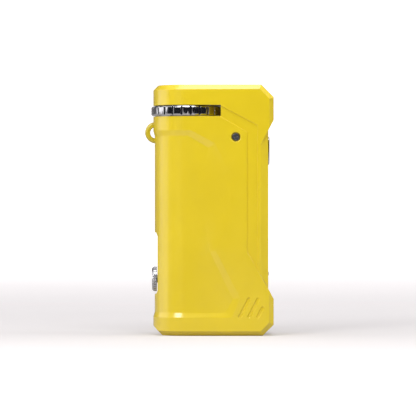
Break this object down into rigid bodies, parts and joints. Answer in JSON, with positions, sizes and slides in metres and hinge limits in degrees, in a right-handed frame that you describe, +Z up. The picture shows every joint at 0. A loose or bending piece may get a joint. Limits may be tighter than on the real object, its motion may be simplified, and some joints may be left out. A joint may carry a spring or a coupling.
{
  "type": "hand-held battery box",
  "caption": "Slim yellow battery box for threaded cartridges, with a toothed iris wheel, height knob, fire button, rocker and lanyard loop.",
  "frame": {"origin": "centre of the flat bottom face", "axes": "+Z up along the box, +X right seen from the front, front face towards -Y"},
  "size_m": [0.0406, 0.0222, 0.079],
  "materials": {
    "shell": "satin yellow paint",
    "loop": "satin yellow plastic",
    "steel": "polished",
    "brushed": "satin",
    "dark_steel": "blackened",
    "brass": "satin",
    "black": "matte",
    "white_plastic": "matte",
    "lens": "gloss",
    "board": "solder mask",
    "cell": "shrink wrap",
    "nickel": "satin",
    "foam": "closed-cell foam"
  },
  "bodies": {
    "casing": {"front_shell": "shell", "rear_shell": "shell", "lanyard_loop": "loop", "top_collar": "steel", "chamber_tube": "brushed", "track_liner": "dark_steel", "iris_guide_plate": "brushed", "fire_switch": "dark_steel", "adjust_switches": "dark_steel", "rocker_pin": "brushed", "display_lens": "lens", "display_module": "black", "inner_frame": "black", "battery_cell": "cell", "battery_tabs": "nickel", "foam_pad": "foam", "main_board": "board", "board_chips": "black", "usb_connector": "nickel", "usb_tongue": "black", "charge_board": "board", "front_case_screw": "dark_steel", "rear_case_screws": "dark_steel"},
    "wheel": {"iris_wheel": "steel"},
    "leaf_1": {"iris_leaf_1": "brushed"},
    "leaf_2": {"iris_leaf_2": "brushed"},
    "leaf_3": {"iris_leaf_3": "brushed"},
    "carriage": {"socket_carriage": "black", "socket_shell": "steel", "socket_insulator": "white_plastic", "contact_spring": "brass"},
    "contact": {"center_pin": "brass"},
    "knob": {"height_knob": "steel", "knob_stem": "brushed"},
    "button": {"fire_button": "steel", "fire_plunger": "black"},
    "rocker": {"adjust_rocker": "steel"}
  },
  "joints": [
    {"name": "wheel_turn", "type": "hinge", "parent": "casing", "child": "wheel", "pos_m": [-0.0085, 0, 0.0708], "axis": [0, 0, 1], "range_deg": [0, 45]},
    {"name": "leaf_1_swing", "type": "hinge", "parent": "casing", "child": "leaf_1", "pos_m": [-0.00025, 0, 0.0709], "axis": [0, 0, 1], "range_deg": [0, 15]},
    {"name": "leaf_2_swing", "type": "hinge", "parent": "casing", "child": "leaf_2", "pos_m": [-0.01263, 0.00715, 0.0709], "axis": [0, 0, 1], "range_deg": [0, 15]},
    {"name": "leaf_3_swing", "type": "hinge", "parent": "casing", "child": "leaf_3", "pos_m": [-0.01263, -0.00715, 0.0709], "axis": [0, 0, 1], "range_deg": [0, 15]},
    {"name": "carriage_slide", "type": "slide", "parent": "casing", "child": "carriage", "axis": [0, 0, 1], "range_m": [0, 0.01]},
    {"name": "contact_press", "type": "slide", "parent": "carriage", "child": "contact", "axis": [0, 0, -1], "range_m": [0, 0.0006], "stiffness_N_per_m": 1500, "springref_m": -0.0006, "deforming": ["contact_spring"]},
    {"name": "knob_turn", "type": "hinge", "parent": "carriage", "child": "knob", "pos_m": [-0.0185, 0, 0.0177], "axis": [1, 0, 0], "range_deg": [-270, 0]},
    {"name": "fire_press", "type": "slide", "parent": "casing", "child": "button", "axis": [-1, 0, 0], "range_m": [0, 0.0004], "stiffness_N_per_m": 3000, "springref_m": -0.0003},
    {"name": "rocker_tilt", "type": "hinge", "parent": "casing", "child": "rocker", "pos_m": [0.01535, 0, 0.0194], "axis": [0, 1, 0], "range_deg": [-2.5, 2.5], "stiffness_Nm_per_rad": 0.2}
  ],
  "couplings": [
    {"joint": "leaf_1_swing", "follows": "wheel_turn", "ratio": 0.33333},
    {"joint": "leaf_2_swing", "follows": "wheel_turn", "ratio": 0.33333},
    {"joint": "leaf_3_swing", "follows": "wheel_turn", "ratio": 0.33333}
  ]
}
